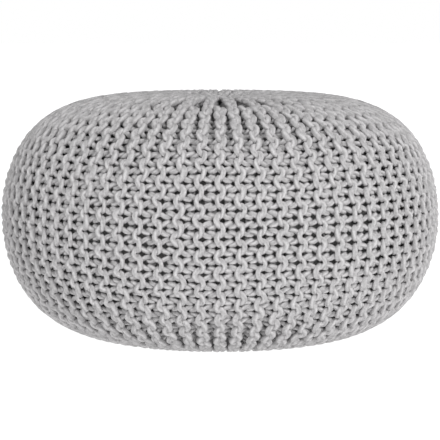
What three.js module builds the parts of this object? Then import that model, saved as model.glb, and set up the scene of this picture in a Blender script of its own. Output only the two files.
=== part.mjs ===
// A round knitted pouf standing on a floor, in millimetres, +Z up, with its origin at the middle of
// its flat underside. The knitted cover and its filling are one soft body: a wide belly, a broad
// crown that is drawn in to a small pucker at its middle, and a base that rests flat. The rows of
// the garter stitch run from the underside over the belly to the crown. They show as raised ribs
// with grooves between them, and near the crown's middle every second rib ends in a groove.
import * as THREE from "three";

// Form of the body, over the crests of the ribs.
const BELLY_RADIUS = 250;
const BELLY_HEIGHT = 132; // of the widest ring, above the floor
const CROWN_RISE = 140; // from the widest ring up to the crown
const BASE_DROP = 142; // from the widest ring to where the base would close, below the floor
const CROWN_FULLNESS = 4.6; // 2 is a round dome, more is a flatter crown with fuller shoulders
const BASE_FULLNESS = 4.25;

// The drawn-in middle of the crown.
const PUCKER_DEPTH = 13;
const PUCKER_WIDTH = 31;

// The ribs, zone by zone from the floor to the crown's middle. In each zone after the first, every
// second rib of the zone before has ended.
const RIB_ZONES = [
  { ribs: 72, innerRadius: 145, grooveDepth: 5 },
  { ribs: 36, innerRadius: 70, grooveDepth: 7 },
  { ribs: 18, innerRadius: 35, grooveDepth: 7 },
  { ribs: 9, innerRadius: 12, grooveDepth: 4 },
];
const LASTING_RIB_ANGLE = (2 * Math.PI) / RIB_ZONES[0].ribs; // of the rib that is in every zone
const STITCH = 19.6; // length of one stitch along a rib, and the step between two rings of points
const FLOOR_SCALLOP = 12; // how far a groove reaches in under the edge that touches the floor

const OUTLINE_STEPS = 2000;
const YARN_COLOUR = 0xbdbbbc;

// Outline over the rib crests. Turn is 0 at the widest ring, negative below it and a quarter turn
// at the middle of the crown.
function outlinePoint(turn) {
  const above = turn > 0;
  const fullness = above ? CROWN_FULLNESS : BASE_FULLNESS;
  const rise = above ? CROWN_RISE : BASE_DROP;
  const radius = BELLY_RADIUS * Math.max(0, Math.cos(turn)) ** (2 / fullness);
  const pucker = above ? PUCKER_DEPTH * Math.exp(-((radius / PUCKER_WIDTH) ** 2)) : 0;
  return new THREE.Vector2(radius, BELLY_HEIGHT + rise * Math.sin(turn) - pucker);
}

// The outline from the floor to the middle of the crown, each point with its length from the floor.
function measuredOutline() {
  const floorTurn = -Math.asin(BELLY_HEIGHT / BASE_DROP);
  const outline = [];
  let length = 0;
  for (let i = 0; i <= OUTLINE_STEPS; i++) {
    const turn = floorTurn + ((Math.PI / 2 - floorTurn) * i) / OUTLINE_STEPS;
    const point = outlinePoint(turn);
    if (i > 0) length += point.distanceTo(outline[i - 1].point);
    outline.push({ point, length });
  }
  return outline;
}

// Point and outward normal of the outline at a length from the floor.
function outlineAt(outline, length) {
  const next = Math.max(1, outline.findIndex((o) => o.length >= length));
  const [a, b] = [outline[next - 1], outline[next]];
  const share = (length - a.length) / (b.length - a.length);
  const along = b.point.clone().sub(a.point).normalize();
  return {
    point: a.point.clone().lerp(b.point, share),
    normal: new THREE.Vector2(along.y, -along.x),
  };
}

// Length from the floor at which the outline above the belly comes in to a radius.
function lengthAtRadius(outline, radius) {
  return outline.findLast((o) => o.point.x >= radius).length;
}

// One ring of points round the body: a crest, then a groove, for each rib.
function ribRing(ribs, crest, groove) {
  const ring = [];
  for (let i = 0; i < 2 * ribs; i++) {
    const angle = LASTING_RIB_ANGLE + (Math.PI * i) / ribs;
    const { x: radius, y: height } = i % 2 ? groove : crest;
    ring.push(new THREE.Vector3(radius * Math.cos(angle), radius * Math.sin(angle), height));
  }
  return ring;
}

// All rings from the floor to the pucker, about a stitch apart within each zone.
function ribRings() {
  const outline = measuredOutline();
  const edge = outline[0].point.x;
  const floorCrest = new THREE.Vector2(edge, 0);
  const floorGroove = new THREE.Vector2(edge - FLOOR_SCALLOP, 0);
  const rings = [ribRing(RIB_ZONES[0].ribs, floorCrest, floorGroove)];
  let start = 0;
  for (const { ribs, innerRadius, grooveDepth } of RIB_ZONES) {
    const end = lengthAtRadius(outline, innerRadius);
    const steps = Math.max(1, Math.round((end - start) / STITCH));
    for (let i = 1; i <= steps; i++) {
      const { point, normal } = outlineAt(outline, start + ((end - start) * i) / steps);
      rings.push(ribRing(ribs, point, point.clone().addScaledVector(normal, -grooveDepth)));
    }
    start = end;
  }
  return rings;
}

// Faces between two rings with as many points, or with half as many in the upper one.
function facesBetween(lower, upper, lowerSize, upperSize) {
  const at = (i) => lower + (i % lowerSize);
  const up = (i) => upper + (i % upperSize);
  const faces = [];
  if (upperSize === lowerSize) {
    for (let i = 0; i < lowerSize; i++) {
      faces.push(at(i), at(i + 1), up(i + 1), at(i), up(i + 1), up(i));
    }
    return faces;
  }
  for (let i = 0; i < upperSize; i++) {
    const groove = 2 * i + 1;
    faces.push(at(groove - 1), at(groove), up(i));
    faces.push(at(groove), at(groove + 1), up(i + 1));
    faces.push(at(groove), up(i + 1), up(i));
  }
  return faces;
}

// A closed surface through the rings, with one point in the middle of the base and of the crown.
function bodyGeometry() {
  const rings = ribRings();
  const points = rings.flat();
  const base = points.length;
  const crown = base + 1;
  points.push(new THREE.Vector3(0, 0, 0));
  points.push(new THREE.Vector3(0, 0, outlinePoint(Math.PI / 2).y));

  const starts = [];
  let start = 0;
  for (const ring of rings) {
    starts.push(start);
    start += ring.length;
  }
  const faces = [];
  for (let level = 1; level < rings.length; level++) {
    const [below, above] = [rings[level - 1].length, rings[level].length];
    faces.push(...facesBetween(starts[level - 1], starts[level], below, above));
  }
  const first = rings[0].length;
  for (let i = 0; i < first; i++) faces.push(base, (i + 1) % first, i);
  const last = rings.at(-1).length;
  const top = starts.at(-1);
  for (let i = 0; i < last; i++) faces.push(crown, top + i, top + ((i + 1) % last));

  const geometry = new THREE.BufferGeometry().setFromPoints(points);
  geometry.setIndex(faces);
  geometry.computeVertexNormals();
  return geometry;
}

const cotton = new THREE.MeshStandardMaterial({
  color: YARN_COLOUR,
  roughness: 0.95,
  metalness: 0,
});

const body = new THREE.Mesh(bodyGeometry(), cotton);
body.name = "knitted_body";

const pouf = new THREE.Group();
pouf.name = "pouf";
pouf.add(body);

export default pouf;
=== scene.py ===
"""A round pouf knitted from thick cotton cord in garter stitch, on a plain pale floor.

The cover is yarn. Each course of stitches runs from the underside over the belly towards the middle
of the crown as one looped centreline, and the courses turn into each other at their ends. The loops
are laid out from the stitch sizes, pushed apart where strands cross, and swept into tubes. Crossing
tubes still sink into each other, as soft yarn that is pressed together does, and in a few places one
passes through another. Under them lies the filled body that shows through the gaps.
"""

import itertools
import math

import bpy
import numpy as np
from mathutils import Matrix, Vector


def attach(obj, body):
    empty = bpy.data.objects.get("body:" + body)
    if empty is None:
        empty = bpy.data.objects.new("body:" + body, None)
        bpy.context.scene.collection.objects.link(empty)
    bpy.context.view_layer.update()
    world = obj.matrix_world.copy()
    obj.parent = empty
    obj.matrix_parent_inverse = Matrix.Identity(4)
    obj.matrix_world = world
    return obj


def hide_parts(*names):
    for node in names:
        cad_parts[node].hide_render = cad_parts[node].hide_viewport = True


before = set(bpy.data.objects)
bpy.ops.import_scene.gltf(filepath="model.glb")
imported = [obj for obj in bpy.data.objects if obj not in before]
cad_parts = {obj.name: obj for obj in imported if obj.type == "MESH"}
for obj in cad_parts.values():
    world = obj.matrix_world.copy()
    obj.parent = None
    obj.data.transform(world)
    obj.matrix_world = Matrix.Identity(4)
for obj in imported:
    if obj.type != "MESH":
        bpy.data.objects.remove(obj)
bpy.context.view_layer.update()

MM = 0.001
NODE = "knitted_body"
WHITE = (1, 1, 1, 1)

# Measuring the CAD body.
OUTLINE_STEP = 1.0 * MM
ROUNDING = 6.0  # width of the smoothing, in steps
KERNEL_REACH = 4  # of the smoothing, in widths
CREST_ANGLE = 0.002  # off a crest's azimuth, for a vertex that counts as on it
CREST_START = 2.0 * MM  # radius from which the crest is measured
TIP_RADIUS = 1.0 * MM  # within which a vertex is in the middle of the crown
SHORTEST = 0.01 * MM  # between two points of the outline

# Knit layout. A pair is one course up and one course back, and shows as one rib.
PAIRS = 72
PAIR_ANGLE = 2 * math.pi / PAIRS
STITCH = 19.6 * MM  # along a rib
FIRST_ROW = 2.0 * MM  # from the middle of the underside to row 0
CROWN_ENDS = (26, 30, 32, 33)  # row where the pairs of each zone end, above the belly
BASE_ENDS = (7, 4, 2, 1)  # and below it
LASTING_PAIR_ANGLE = math.radians(5.0)  # azimuth of a pair that reaches the middle of the crown
WIDENING_START = 0.15  # in stitches past an ended pair's last row
WIDENING = 0.8  # stitches over which its neighbours close up

# One loop.
YARN_RADIUS = 2.85 * MM  # mean, where the courses aren't crowded
PLUMPNESS = -0.03  # swelling at the top of each arc and half way to the next, in radii
PINCHED_FRONT = 0.50  # distance aimed at where strands cross on the face, in both radii together
PINCHED_BACK = 0.85  # and on the reverse
HEAD_OVERLAP = 3.9 * MM  # how far a loop's head reaches past the middle between two courses
POINT = 0.8 * MM  # how much narrower its top is
FRONT_BULGE = 3.0 * MM  # how far an arc on the face is wider than its neck, on each side
BACK_BULGE = 3.6 * MM  # and one on the reverse
SWING = 3.9 * MM  # of the strand to the front and to the back
SWING_SHARPNESS = 1.2 * MM  # how pointed its arcs are
FULL_SPACING = 10.9 * MM  # of two courses at the belly
CROWN_SPACING = 7.0 * MM  # and across a rib past the first ended ribs
CROWDED_SPACING = 6.4 * MM  # at which they are fully crowded
LYING_SPACING = 8.6 * MM  # from which on their loops lie flat
CROWDED_FLATTENING = 1.4 * MM  # less sharpness where the loops lie flat
CROWDED_RELIEF = 1.0  # more relief where they are fully crowded, as a share
CROWDED_FACE = 0.4  # thicker yarn on the face there, since it is slack
CROWDED_REVERSE = -0.2  # and thinner yarn behind it
CROWDED_BULGE = -0.3 * MM  # change of the front bulge there
GATHERED_OVERLAP = -0.8 * MM  # change of the head overlap past the first ended ribs
GATHERED_BULGE = 1.3 * MM  # and of the front bulge
SMALLEST_RADIUS = 8 * MM  # that a loop is bent round at the poles
SAG = 2.5 * MM  # of the strands between two ribs, above the belly
SAG_ROWS = (13, 21)  # between which the sag comes in
TURN_REACH = 0.33  # of a course's end past its last row, in stitches
TURN_POINTS = 3  # on the strand from one course to the next
RINGS = 18  # of a tube, along one stitch
SIDES = 7  # of the tube

# Unevenness of handwork.
SEED = 7
ROW_WANDER = 1.5 * MM  # of the rows, shared by neighbours
WANDER_PAIRS = 4  # that it takes to change
WANDER_ROWS = 3
STITCH_WANDER = 0.6 * MM  # of single stitches
UNEVEN_LOOPS = 0.20  # spread of the overlaps
UNEVEN_YARN = 0.08  # and of the yarn's thickness

# Relaxing.
RELAX_STEPS = 40
SEARCH_EVERY = 15  # steps
SEARCH_REACH = 8.2 * MM  # within which two points can touch
STRAND_SKIP = 4  # nearest points of the same strand, which never count as touching
PUSH = 0.28  # share of an overlap that each strand gives way in one step
HOLD = 0.1  # share of the way back to where the yarn was laid, in one step
STIFFNESS = 0.02  # against kinks
CLOSEST = 0.001 * MM  # distance that two points are taken to have at least

SECTORS = 6  # meshes that the knit is cut into
FILLING_GAP = 0.5 * MM  # between the knit and what it is pulled over
FILLING_RINGS = 58
FILLING_SIDES = 96

# View of the photograph.
CAMERA_DISTANCE = 2.0  # from the belly's middle
CAMERA_ELEVATION = math.radians(6.5)
BELLY_HEIGHT = 0.132
AIM_HEIGHT = 0.125  # of what the camera looks at
LENS = 142.4  # millimetres

# Studio.
FLOOR_SIZE = 40
FLOOR_LIT = 0.1  # share of light that the floor throws back
FLOOR_GLOW = 1.0  # so that it stays as pale as the backdrop
FLOOR_ROUGHNESS = 0.9
STUDIO_LIGHT = 1.0  # from all round
CEILING_LIGHT = 0.5  # from straight above
CEILING_RANGE = (0.05, 0.8)  # upward share of a direction between which it changes
KEY_PLACE = (1.1, -2.4, 1.3)
KEY_SIZE = 1.0
KEY_POWER = 40
FILL_PLACE = (-0.8, -2.4, 1.3)
FILL_SIZE = 1.4
FILL_POWER = 7
LIGHT_AIM = (0, 0, BELLY_HEIGHT)

# Materials. The yarn is twisted cotton, with painted shade that darkens its colour with the depth in
# the knit.
YARN_COLOUR = (0.434, 0.426, 0.43)
# painted shade: the yarn's colour deep in the knit, where shade falls between the strands
PAINTED_SHADE_COLOUR = (0.08, 0.078, 0.079)
PAINTED_SHADE_FROM = 6.0 * MM  # depth at which the painted shade on the yarn begins
PAINTED_SHADE_TO = 12.0 * MM  # and is darkest
YARN_ROUGHNESS = (1.0, 0.82)  # between the fibres and on them
YARN_GLOSS = 0.2
PLIES = 3
TWISTS = 45  # per metre of yarn
PLY_SHARE = 0.35  # of the relief, the rest is fibres
FIBRE_SIZE = 3.0 * MM
FIBRE_DETAIL = 4.0  # octaves of the fibres' noise
FIBRE_CONTRAST = 0.8  # strength of an octave beside the one before
NOISE_RANGE = (0.25, 0.75)  # that nearly all of a noise texture's values lie in
RELIEF_SHADE_SPREAD = (0.6, 1.55)  # of the yarn's colour, from its hollows to its ridges: painted shade in the hollows and ply grooves, painted light on the ridges, mottled at random by the fibres
YARN_BUMP = 0.8 * MM
FILLING_COLOUR = (0.25, 0.245, 0.247)
FILLING_GRAIN = 1.5 * MM
FILLING_TONES = (0.8, 1.2)
FILLING_ROUGHNESS = (1.0, 0.9)
FILLING_BUMP = 0.3 * MM
BAKE_STRIP = 450  # rings of yarn in one strip of the texture map
BAKE_FILL = 0.94  # of a strip's height
BAKE_DISCS = (0.25, 0.75)  # where the tube's two end caps lie along the last strip


def smoothed(values, width):
    """values, with a gaussian of that width in samples, and the ends held."""
    reach = int(KERNEL_REACH * width)
    kernel = np.exp(-0.5 * (np.arange(-reach, reach + 1) / width) ** 2)
    kernel /= kernel.sum()
    before = 2 * values[0] - values[reach:0:-1]
    after = 2 * values[-1] - values[-2:-reach - 2:-1]
    return np.convolve(np.concatenate([before, values, after]), kernel, "valid")


class Surface:
    """The surface over the rib crests, measured on the CAD body: reach from the middle of the
    underside, radius, height and outward normal."""

    def __init__(self, node):
        points = np.array([v.co for v in node.data.vertices])
        radius = np.hypot(points[:, 0], points[:, 1])
        angle = np.arctan2(points[:, 1], points[:, 0])
        crest = (np.abs(angle - LASTING_PAIR_ANGLE) < CREST_ANGLE) & (radius > CREST_START)
        order = np.argsort(np.arctan2(points[crest, 2] - BELLY_HEIGHT, radius[crest]))
        top = points[radius < TIP_RADIUS][:, 2].max()
        outline = np.stack([radius[crest], points[crest, 2]], 1)[order]
        outline = np.concatenate([[[0, 0]], outline, [[0, top]]])
        outline = outline[np.r_[True, np.hypot(*np.diff(outline, axis=0).T) > SHORTEST]]
        reach = np.r_[0, np.cumsum(np.hypot(*np.diff(outline, axis=0).T))]
        self.reach = np.arange(0, reach[-1], OUTLINE_STEP)
        self.radius = smoothed(np.interp(self.reach, reach, outline[:, 0]), ROUNDING)
        self.height = smoothed(np.interp(self.reach, reach, outline[:, 1]), ROUNDING)
        along = np.stack([np.gradient(self.radius), np.gradient(self.height)])
        along /= np.hypot(*along)
        self.out = np.stack([along[1], -along[0]])

    def radius_at(self, reach):
        """How far the surface is from the axis there."""
        return np.interp(reach, self.reach, self.radius)

    def place(self, reach, angle, depth):
        """Points at a depth under the surface, and the outward normals there."""
        out_r = np.interp(reach, self.reach, self.out[0])
        out_z = np.interp(reach, self.reach, self.out[1])
        r = self.radius_at(reach) - depth * out_r
        z = np.interp(reach, self.reach, self.height) - depth * out_z
        points = np.stack([r * np.cos(angle), r * np.sin(angle), z], 1)
        normals = np.stack([out_r * np.cos(angle), out_r * np.sin(angle), out_z], 1)
        return points, normals


def zone_of(pair):
    """0 for the pairs that end first, and 3 for the ones that last longest."""
    return 0 if pair % 2 else 1 if pair % 4 else 2 if pair % 8 else 3


def eased(x):
    """0 up to x = 0, 1 from x = 1, and a smooth step between."""
    x = np.clip(x, 0, 1)
    return x * x * (3 - 2 * x)


def pitch_at(reach, ends, direction):
    """The angle that one pair takes up, which doubles past each zone's end."""
    pitch = np.full_like(reach, PAIR_ANGLE)
    for zone, end in enumerate(ends[:-1]):
        past = direction * ((reach - FIRST_ROW) / STITCH - end)
        pitch += PAIR_ANGLE * 2**zone * eased((past - WIDENING_START) / WIDENING)
    return pitch


def gathering(reach):
    """0 below the first ended ribs of the crown, and 1 above them."""
    return eased((reach - FIRST_ROW) / STITCH - CROWN_ENDS[0] + 1)


def spacings(reach, surface):
    """How far a course is from the next across a rib, and across the valley beside it."""
    radius = surface.radius_at(reach)
    crown = pitch_at(reach, CROWN_ENDS, 1) * radius
    base = pitch_at(reach, BASE_ENDS, -1) * radius
    widest = FULL_SPACING + (CROWN_SPACING - FULL_SPACING) * gathering(reach)
    upper = reach > surface.reach[-1] / 2
    rib = np.where(upper, np.minimum(crown / 2, widest), base / 2)
    return rib, np.where(upper, crown, base) - rib


def wandering(noise, rows):
    """Offsets of every row of every pair, which change little from one to its neighbours."""
    coarse = noise.normal(0, 1, (PAIRS // WANDER_PAIRS, rows // WANDER_ROWS + 2))
    coarse = np.concatenate([coarse, coarse[:1]])
    down = np.arange(rows) / WANDER_ROWS
    columns = np.stack([np.interp(down, np.arange(coarse.shape[1]), c) for c in coarse])
    across = np.arange(2 * PAIRS) / (2 * WANDER_PAIRS)
    return np.stack([np.interp(across, np.arange(len(columns)), c) for c in columns.T], 1)


def crowding(reach, surface):
    """How crowded the courses are, from 0 at FULL_SPACING to 1 at CROWDED_SPACING, and how far their
    loops lie down, which is complete at LYING_SPACING already."""
    rib, _ = spacings(reach, surface)
    crowded = eased((FULL_SPACING - rib) / (FULL_SPACING - CROWDED_SPACING))
    lying = eased((FULL_SPACING - rib) / (FULL_SPACING - LYING_SPACING))
    return crowded, lying


def laid_course(course, surface, noise, drift):
    """One course's centreline, from its lower end to its upper one where it is knit and back down
    where it is purled: reach, angle, depth, the yarn's radius and its softness."""
    knit = course % 2 == 0
    crown_pair, base_pair = course // 2, (course - 1) // 2
    first, last = BASE_ENDS[zone_of(base_pair)], CROWN_ENDS[zone_of(crown_pair)]
    row = first + np.arange((last - first) * RINGS + 1) / RINGS
    phase = 2 * np.pi * row  # one stitch is one turn
    side = -1 if knit else 1
    facing = (1 + side * np.cos(phase)) / 2

    reach = FIRST_ROW + STITCH * row
    rib, valley = spacings(reach, surface)
    crowded, lying = crowding(reach, surface)
    gathered = gathering(reach)
    front_bulge = FRONT_BULGE + CROWDED_BULGE * crowded + GATHERED_BULGE * gathered
    bulge = BACK_BULGE + (front_bulge - BACK_BULGE) * facing
    reach = reach + bulge * np.sin(2 * phase) - POINT * np.sin(4 * phase)

    radius = np.maximum(surface.radius_at(reach), SMALLEST_RADIUS)
    middle = np.where(
        reach > surface.reach[-1] / 2,
        LASTING_PAIR_ANGLE + PAIR_ANGLE * crown_pair + side * rib / 2 / radius,
        LASTING_PAIR_ANGLE + PAIR_ANGLE * (base_pair + 0.5) - side * valley / 2 / radius,
    )
    spacing = valley + (rib - valley) * facing
    places = np.arange(2 * first, 2 * last + 1) / 2
    size = 1 + noise.normal(0, UNEVEN_LOOPS, len(places))
    overlap = HEAD_OVERLAP + GATHERED_OVERLAP * gathered
    overlap *= np.interp(row, places, size)
    across = -(spacing / 2 + overlap) * np.cos(phase)
    angle = middle + across / radius

    sharpness = SWING_SHARPNESS - CROWDED_FLATTENING * lying
    swing = SWING * np.cos(phase) + sharpness * np.cos(3 * phase)
    relief = 1 + CROWDED_RELIEF * crowded
    depth = YARN_RADIUS + relief * (SWING + sharpness - side * swing)
    sagging = np.clip((row - SAG_ROWS[0]) / (SAG_ROWS[1] - SAG_ROWS[0]), 0, 1)
    centre = np.stack([reach - SAG * sagging * np.sin(phase) ** 2, angle, depth], 1)

    swelling = CROWDED_REVERSE + (CROWDED_FACE - CROWDED_REVERSE) * facing
    thickness = (1 + PLUMPNESS * np.cos(4 * phase)) * (1 + swelling * crowded)
    thickness *= np.interp(row, places, 1 + noise.normal(0, UNEVEN_YARN, len(places)))
    stitches = np.arange(first, last + 1)
    wander = noise.normal(0, STITCH_WANDER, len(stitches))
    wander += ROW_WANDER * drift[course, first:last + 1]
    centre[:, 0] += np.interp(row, stitches, wander)
    softness = PINCHED_BACK + (PINCHED_FRONT - PINCHED_BACK) * facing
    centre = np.concatenate([centre, YARN_RADIUS * thickness[:, None], softness[:, None]], 1)
    return centre if knit else centre[::-1]


def turn_between(end, start, direction):
    """The strand from the end of one course round to the start of the next."""
    half_turn = np.pi * np.arange(1, TURN_POINTS + 1) / (TURN_POINTS + 1)
    share = (1 - np.cos(half_turn)) / 2
    bow = np.sin(half_turn)
    points = end + (start - end) * share[:, None]
    points[:, 0] += direction * TURN_REACH * STITCH * bow
    return points


def laid_yarn(surface):
    """The whole yarn as laid out, and the sector that each point belongs to."""
    noise = np.random.default_rng(SEED)
    drift = wandering(noise, CROWN_ENDS[-1] + 1)
    parts, sectors = [], []
    for course in range(2 * PAIRS):
        centre = laid_course(course, surface, noise, drift)
        sector = course * SECTORS // (2 * PAIRS)
        if parts:
            parts.append(turn_between(parts[-1][-1], centre[0], 1 if course % 2 else -1))
            sectors.append(np.full(len(parts[-1]), sectors[-1][-1]))
        parts.append(centre)
        sectors.append(np.full(len(centre), sector))
    return np.concatenate(parts), np.concatenate(sectors)


def close_pairs(points):
    """Pairs of points of different strands that are closer than SEARCH_REACH, found by sorting the
    points into cells of that size."""
    cell = np.floor(points / SEARCH_REACH).astype(np.int64)
    cell -= cell.min(0) - 1
    size = cell.max(0) + 3
    key = (cell[:, 0] * size[1] + cell[:, 1]) * size[2] + cell[:, 2]
    order = np.argsort(key, kind="stable")
    sorted_key = key[order]
    found = []
    everyone = np.arange(len(points))
    for dx, dy, dz in itertools.product((-1, 0, 1), repeat=3):
        step = (dx * size[1] + dy) * size[2] + dz
        if step < 0:  # its opposite finds the same pairs
            continue
        low = np.searchsorted(sorted_key, key + step, "left")
        count = np.searchsorted(sorted_key, key + step, "right") - low
        i = np.repeat(everyone, count)
        base = np.repeat(low - np.r_[0, np.cumsum(count)[:-1]], count)
        j = order[base + np.arange(count.sum())]
        apart = np.abs(i - j) > STRAND_SKIP
        if step == 0:
            apart &= i < j
        i, j = i[apart], j[apart]
        near = ((points[i] - points[j]) ** 2).sum(1) < SEARCH_REACH**2
        found.append(np.stack([i[near], j[near]]))
    return np.concatenate(found, 1)


def spread(moves, index, vectors):
    """Adds each vector to the move of the point that it belongs to."""
    for axis in range(3):
        moves[:, axis] += np.bincount(index, vectors[:, axis], minlength=len(moves))


def relaxed(centre, surface):
    """The laid yarn's points in space, their outward normals and their depths, after crossing
    strands are pushed towards the distance that pressed yarn keeps."""
    start, out = surface.place(*centre[:, :3].T)
    base, _ = surface.place(centre[:, 0], centre[:, 1], 0 * centre[:, 2])
    radius = centre[:, 3]
    firm = radius * centre[:, 4]
    points = start.copy()
    deepest = centre[:, 2].max()
    for step in range(RELAX_STEPS):
        if step % SEARCH_EVERY == 0:
            i, j = close_pairs(points)
            touching = firm[i] + firm[j]
        moves = HOLD * (start - points)
        moves[1:-1] += STIFFNESS * ((points[2:] + points[:-2]) / 2 - points[1:-1])
        apart = points[i] - points[j]
        distance = np.sqrt((apart**2).sum(1))
        hit = distance < touching
        share = PUSH * (touching[hit] / np.maximum(distance[hit], CLOSEST) - 1)
        push = apart[hit] * share[:, None]
        spread(moves, i[hit], push)
        spread(moves, j[hit], -push)
        points = points + moves
        depth = -((points - base) * out).sum(1)
        fix = np.clip(depth, radius, deepest) - depth
        points -= out * fix[:, None]
    return points, out, -((points - base) * out).sum(1)


def yarn_maps(mesh, lengths, rings, sides):
    """The place along and round the yarn, and the unfolded strips that it is baked on."""
    k = np.arange(rings - 1)[:, None, None]
    s = np.arange(sides)[None, :, None]
    ring = k + np.array([0, 0, 1, 1])
    turn = s + np.array([0, 1, 1, 0])
    yarn = np.stack(np.broadcast_arrays(lengths[ring], turn / sides), -1).reshape(-1, 2)
    strips = (rings - 1) // BAKE_STRIP + 2
    strip = k // BAKE_STRIP
    across = (strip + BAKE_FILL * turn / sides) / strips
    along = ring / BAKE_STRIP - strip
    baked = np.stack(np.broadcast_arrays(along, across), -1).reshape(-1, 2)
    corner = 2 * np.pi * np.arange(sides) / sides
    disc = BAKE_FILL / 2 / strips * np.stack([np.cos(corner), np.sin(corner)], 1)
    ends = [disc + (share, 1 - 0.5 / strips) for share in BAKE_DISCS]
    for name, values in (
        ("OFBake", np.concatenate([baked, *ends])),
        ("yarn", np.concatenate([yarn, np.zeros((2 * sides, 2))])),
    ):
        mesh.uv_layers.new(name=name).uv.foreach_set("vector", values.astype(np.float32).ravel())


def cross_sections(points, radius, sides):
    """The corners of a tube's rings, as steps from its centreline, carried along without twist."""
    along = np.gradient(points, axis=0)
    along /= np.linalg.norm(along, axis=1, keepdims=True)
    side = np.empty_like(points)
    side[0] = np.cross(along[0], [0, 0, 1])
    side[0] /= np.linalg.norm(side[0])
    for k in range(1, len(points)):
        carried = side[k - 1] - along[k] * side[k - 1].dot(along[k])
        side[k] = carried / np.sqrt(carried.dot(carried))
    other = np.cross(along, side)
    turn = 2 * np.pi * np.arange(sides) / sides
    ring = (
        np.cos(turn)[None, :, None] * side[:, None, :]
        + np.sin(turn)[None, :, None] * other[:, None, :]
    )
    return radius[:, None, None] * ring


def tube(name, points, radius, out, depth, sides):
    """A closed tube along the yarn's points, whose vertices know how deep they lie in the knit."""
    ring = cross_sections(points, radius, sides)
    vertices = (points[:, None, :] + ring).reshape(-1, 3)
    rings = len(points)
    low = np.arange(rings - 1)[:, None] * sides
    high = low + sides
    corner = np.arange(sides)[None, :]
    after = (corner + 1) % sides
    quads = np.stack([low + corner, low + after, high + after, high + corner], -1).reshape(-1, 4)
    ends = np.stack([np.arange(sides)[::-1], (rings - 1) * sides + np.arange(sides)])
    mesh = bpy.data.meshes.new(name)
    mesh.vertices.add(len(vertices))
    mesh.vertices.foreach_set("co", vertices.astype(np.float32).ravel())
    corners = np.concatenate([quads.ravel(), ends.ravel()])
    starts = np.concatenate([np.arange(len(quads)) * 4, len(quads) * 4 + np.array([0, sides])])
    mesh.loops.add(len(corners))
    mesh.loops.foreach_set("vertex_index", corners.astype(np.int32))
    mesh.polygons.add(len(starts))
    mesh.polygons.foreach_set("loop_start", starts.astype(np.int32))
    mesh.update(calc_edges=True)
    mesh.shade_smooth()
    # depths of the vertices, by which the yarn's material paints shade deep in the knit
    depths = depth[:, None] - (ring * out[:, None, :]).sum(2)
    mesh.attributes.new("depth", "FLOAT", "POINT").data.foreach_set(
        "value", depths.astype(np.float32).ravel()
    )
    lengths = np.concatenate([[0], np.cumsum(np.linalg.norm(np.diff(points, axis=0), axis=1))])
    yarn_maps(mesh, lengths, rings, sides)
    piece = bpy.data.objects.new(name, mesh)
    bpy.context.scene.collection.objects.link(piece)
    return piece


def casing(surface):
    """The filled body under the knit, a closed surface of revolution."""
    reach = surface.reach[-1] * np.arange(1, FILLING_RINGS + 1) / (FILLING_RINGS + 1)
    around = FILLING_SIDES
    angle = 2 * np.pi * np.arange(around) / around
    folded = 1 + CROWDED_RELIEF * crowding(reach, surface)[0]
    depth = 2 * (YARN_RADIUS + folded * (SWING + SWING_SHARPNESS)) + FILLING_GAP
    rings = [
        surface.place(np.full(around, place), angle, np.full(around, deep))[0]
        for place, deep in zip(reach, depth)
    ]
    vertices = np.concatenate(rings)
    faces = []
    for low in range(0, len(vertices) - around, around):
        for corner in range(around):
            after = (corner + 1) % around
            faces.append((low + corner, low + after, low + around + after, low + around + corner))
    faces.append(tuple(range(around))[::-1])
    faces.append(tuple(range(len(vertices) - around, len(vertices))))
    mesh = bpy.data.meshes.new("filling")
    mesh.from_pydata([tuple(v) for v in vertices], [], faces)
    mesh.shade_smooth()
    piece = bpy.data.objects.new("filling", mesh)
    bpy.context.scene.collection.objects.link(piece)
    return piece


def plain_material(name, colour, roughness):
    """A material of one colour and roughness."""
    material = bpy.data.materials.new(name)
    material.use_nodes = True
    shader = material.node_tree.nodes["Principled BSDF"]
    shader.inputs["Base Color"].default_value = (*colour, 1)
    shader.inputs["Roughness"].default_value = roughness
    return material


def add(tree, kind, inputs, **settings):
    """A node with those settings, and with inputs that are numbers or other nodes' outputs."""
    node = tree.nodes.new(kind)
    for key, value in settings.items():
        setattr(node, key, value)
    for socket, value in inputs.items():
        if isinstance(value, bpy.types.NodeSocket):
            tree.links.new(value, node.inputs[socket])
        else:
            node.inputs[socket].default_value = value
    return node


def ranged(tree, value, source, target):
    """The value mapped from one range to another."""
    limits = dict(zip(("From Min", "From Max", "To Min", "To Max"), (*source, *target)))
    return add(tree, "ShaderNodeMapRange", {"Value": value, **limits}).outputs["Result"]


def calculated(tree, operation, *values):
    """The result of a math node."""
    return add(tree, "ShaderNodeMath", dict(enumerate(values)), operation=operation).outputs[0]


def scaled(tree, colour, tone):
    """A colour made lighter or darker."""
    node = add(tree, "ShaderNodeVectorMath", {0: colour, "Scale": tone}, operation="SCALE")
    return node.outputs[0]


def covered(material, colour, roughness, height, distance):
    """Gives the material a colour, a roughness and a relief that vary over it."""
    tree = material.node_tree
    shader = tree.nodes["Principled BSDF"]
    bump = add(tree, "ShaderNodeBump", {"Height": height, "Distance": distance})
    tree.links.new(colour, shader.inputs["Base Color"])
    tree.links.new(roughness, shader.inputs["Roughness"])
    tree.links.new(bump.outputs["Normal"], shader.inputs["Normal"])


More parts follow.
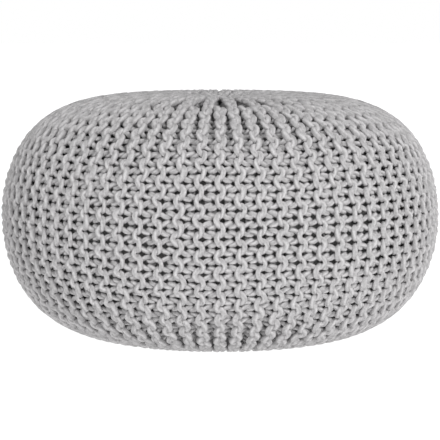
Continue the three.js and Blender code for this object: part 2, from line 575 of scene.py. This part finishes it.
def cotton_cord():
    """Twisted cotton: plies and fibres in relief. Painted shade darkens it deep down in the knit,
    and its tone follows the relief, as painted shade in the hollows and painted light on the ridges.
    """
    material = plain_material("cotton_cord", YARN_COLOUR, YARN_ROUGHNESS[0])
    tree = material.node_tree
    tree.nodes["Principled BSDF"].inputs["Specular IOR Level"].default_value = YARN_GLOSS
    place = add(tree, "ShaderNodeAttribute", {}, attribute_name="yarn").outputs["Vector"]
    place = add(tree, "ShaderNodeSeparateXYZ", {"Vector": place}).outputs
    around = calculated(tree, "MULTIPLY", place["Y"], 2 * math.pi * PLIES)
    winding = calculated(tree, "MULTIPLY_ADD", place["X"], 2 * math.pi * TWISTS, around)
    ply = calculated(tree, "COSINE", winding)
    where = tree.nodes.new("ShaderNodeTexCoord").outputs["Object"]
    fibres = add(
        tree,
        "ShaderNodeTexNoise",
        {
            "Vector": where,
            "Scale": 1 / FIBRE_SIZE,
            "Detail": FIBRE_DETAIL,
            "Roughness": FIBRE_CONTRAST,
        },
    ).outputs["Fac"]
    grain = ranged(tree, fibres, NOISE_RANGE, (0, 1 - PLY_SHARE))
    strand = ranged(tree, ply, (-1, 1), (0, PLY_SHARE))
    height = calculated(tree, "ADD", grain, strand)
    # painted shade: the colour darkens with the depth in the knit, where shade falls between the
    # strands
    depth = add(tree, "ShaderNodeAttribute", {}, attribute_name="depth").outputs["Fac"]
    colour = add(
        tree,
        "ShaderNodeMix",
        {
            "Factor": ranged(tree, depth, (PAINTED_SHADE_FROM, PAINTED_SHADE_TO), (0, 1)),
            "A": (*YARN_COLOUR, 1),
            "B": (*PAINTED_SHADE_COLOUR, 1),
        },
        data_type="RGBA",
    )
    # the tone follows the relief: painted shade in its hollows and between the plies, painted light
    # on its ridges
    shaded = scaled(tree, colour.outputs["Result"], ranged(tree, height, (0, 1), RELIEF_SHADE_SPREAD))
    roughness = ranged(tree, fibres, NOISE_RANGE, YARN_ROUGHNESS)
    covered(material, shaded, roughness, height, YARN_BUMP)
    return material


def filling_cloth():
    """The cloth of the filled body, with a fine grain."""
    material = plain_material("filling_cloth", FILLING_COLOUR, FILLING_ROUGHNESS[0])
    tree = material.node_tree
    where = tree.nodes.new("ShaderNodeTexCoord").outputs["Object"]
    noise = add(tree, "ShaderNodeTexNoise", {"Vector": where, "Scale": 1 / FILLING_GRAIN})
    grain = noise.outputs["Fac"]
    colour = scaled(tree, FILLING_COLOUR, ranged(tree, grain, NOISE_RANGE, FILLING_TONES))
    roughness = ranged(tree, grain, NOISE_RANGE, FILLING_ROUGHNESS)
    covered(material, colour, roughness, grain, FILLING_BUMP)
    return material


def turned_to(target, place):
    """The rotation of a lamp or a camera that looks from a place at a target."""
    return (Vector(target) - Vector(place)).to_track_quat("-Z", "Y").to_euler()


def softbox(name, place, size, power):
    """A round soft light, turned to the pouf."""
    light = bpy.data.lights.new(name, "AREA")
    light.shape = "DISK"
    light.size = size
    light.energy = power
    lamp = bpy.data.objects.new(name, light)
    lamp.location = place
    lamp.rotation_euler = turned_to(LIGHT_AIM, place)
    bpy.context.scene.collection.objects.link(lamp)


# The knit and its filling.
surface = Surface(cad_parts[NODE])
centre, sectors = laid_yarn(surface)
yarn, out, depth = relaxed(centre, surface)
cotton = cotton_cord()
for sector in range(SECTORS):
    part = sectors == sector
    piece = tube(f"knit_{sector + 1}", yarn[part], centre[part, 3], out[part], depth[part], SIDES)
    piece.data.materials.append(cotton)
    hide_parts(NODE)
    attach(piece, "root")

inner = casing(surface)
inner.data.materials.append(filling_cloth())
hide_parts(NODE)
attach(inner, "root")

# Floor, light and camera.
bpy.ops.mesh.primitive_plane_add(size=FLOOR_SIZE, location=(0, 0, 0))
floor = bpy.context.object
floor.name = "floor"
paint = plain_material("floor_white", (FLOOR_LIT,) * 3, FLOOR_ROUGHNESS)
floor.data.materials.append(paint)
glow = paint.node_tree.nodes["Principled BSDF"].inputs
glow["Emission Color"].default_value = WHITE
glow["Emission Strength"].default_value = FLOOR_GLOW

world = bpy.data.worlds.new("studio")
bpy.context.scene.world = world
world.use_nodes = True
sky = world.node_tree
sky.nodes["Background"].inputs["Color"].default_value = WHITE
direction = sky.nodes.new("ShaderNodeTexCoord").outputs["Generated"]
up = add(sky, "ShaderNodeSeparateXYZ", {"Vector": direction}).outputs["Z"]
strength = ranged(sky, up, CEILING_RANGE, (STUDIO_LIGHT, CEILING_LIGHT))
sky.links.new(strength, sky.nodes["Background"].inputs["Strength"])

softbox("key", KEY_PLACE, KEY_SIZE, KEY_POWER)
softbox("fill", FILL_PLACE, FILL_SIZE, FILL_POWER)

camera = bpy.data.objects.new("camera", bpy.data.cameras.new("camera"))
camera.data.lens = LENS
camera.location = (
    0,
    -CAMERA_DISTANCE * math.cos(CAMERA_ELEVATION),
    BELLY_HEIGHT + CAMERA_DISTANCE * math.sin(CAMERA_ELEVATION),
)
camera.rotation_euler = turned_to((0, 0, AIM_HEIGHT), camera.location)
bpy.context.scene.collection.objects.link(camera)
bpy.context.scene.camera = camera
bpy.context.scene.view_settings.view_transform = "Standard"
